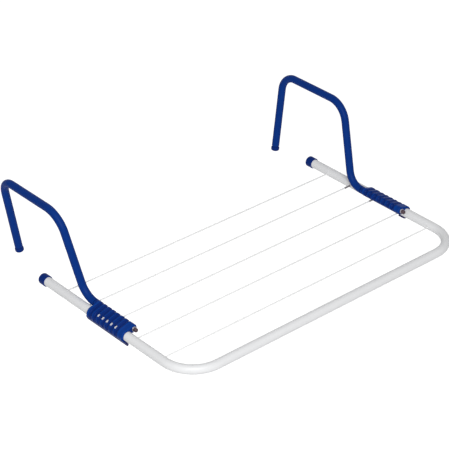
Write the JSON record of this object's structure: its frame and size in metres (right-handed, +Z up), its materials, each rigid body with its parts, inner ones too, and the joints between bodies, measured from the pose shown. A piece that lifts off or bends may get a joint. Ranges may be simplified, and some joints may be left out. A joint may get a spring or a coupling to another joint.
{
  "type": "hook-over clothes airer",
  "caption": "Tubular U frame strung with taut drying wires, carried by two swivelling plastic-sleeved hooks in ribbed clips that slide along its arms.",
  "frame": {"origin": "midway between the rear faces of the two arm caps, level with the arms' axes", "axes": "+X along the front bar towards the right arm, +Y from the front bar towards the rail, +Z up"},
  "size_m": [0.542, 0.4196, 0.1451],
  "materials": {
    "white_powder_coat": "semi-gloss powder coat",
    "wire_coating": "smooth pale plastic coating",
    "blue_plastic": "satin moulded polypropylene",
    "blue_sleeve": "satin extruded plastic",
    "dark_steel": "dark drawn steel",
    "zinc_steel": "zinc-plated"
  },
  "bodies": {
    "frame": {"frame_tube": "white_powder_coat", "drying_wire_1": "wire_coating", "drying_wire_2": "wire_coating", "drying_wire_3": "wire_coating", "drying_wire_4": "wire_coating", "drying_wire_5": "wire_coating", "wire_ferrules": "zinc_steel", "arm_cap_left": "blue_plastic", "arm_cap_right": "blue_plastic"},
    "clip_left": {"clip_left": "blue_plastic"},
    "clip_right": {"clip_right": "blue_plastic"},
    "hook_left": {"hook_rod_left": "dark_steel", "hook_sleeve_left": "blue_sleeve", "hook_end_cap_left": "blue_plastic", "rod_retainer_left": "zinc_steel"},
    "hook_right": {"hook_rod_right": "dark_steel", "hook_sleeve_right": "blue_sleeve", "hook_end_cap_right": "blue_plastic", "rod_retainer_right": "zinc_steel"}
  },
  "joints": [
    {"name": "clip_slide_left", "type": "slide", "parent": "frame", "child": "clip_left", "axis": [0, 1, 0], "range_m": [-0.063, 0.057]},
    {"name": "clip_slide_right", "type": "slide", "parent": "frame", "child": "clip_right", "axis": [0, 1, 0], "range_m": [-0.043, 0.077]},
    {"name": "hook_swivel_left", "type": "hinge", "parent": "clip_left", "child": "hook_left", "pos_m": [-0.2497, -0.111, 0.0075], "axis": [0, 1, 0], "range_deg": [-34, 95.5]},
    {"name": "hook_swivel_right", "type": "hinge", "parent": "clip_right", "child": "hook_right", "pos_m": [0.2497, -0.131, 0.0075], "axis": [0, -1, 0], "range_deg": [-34, 95.5]}
  ]
}
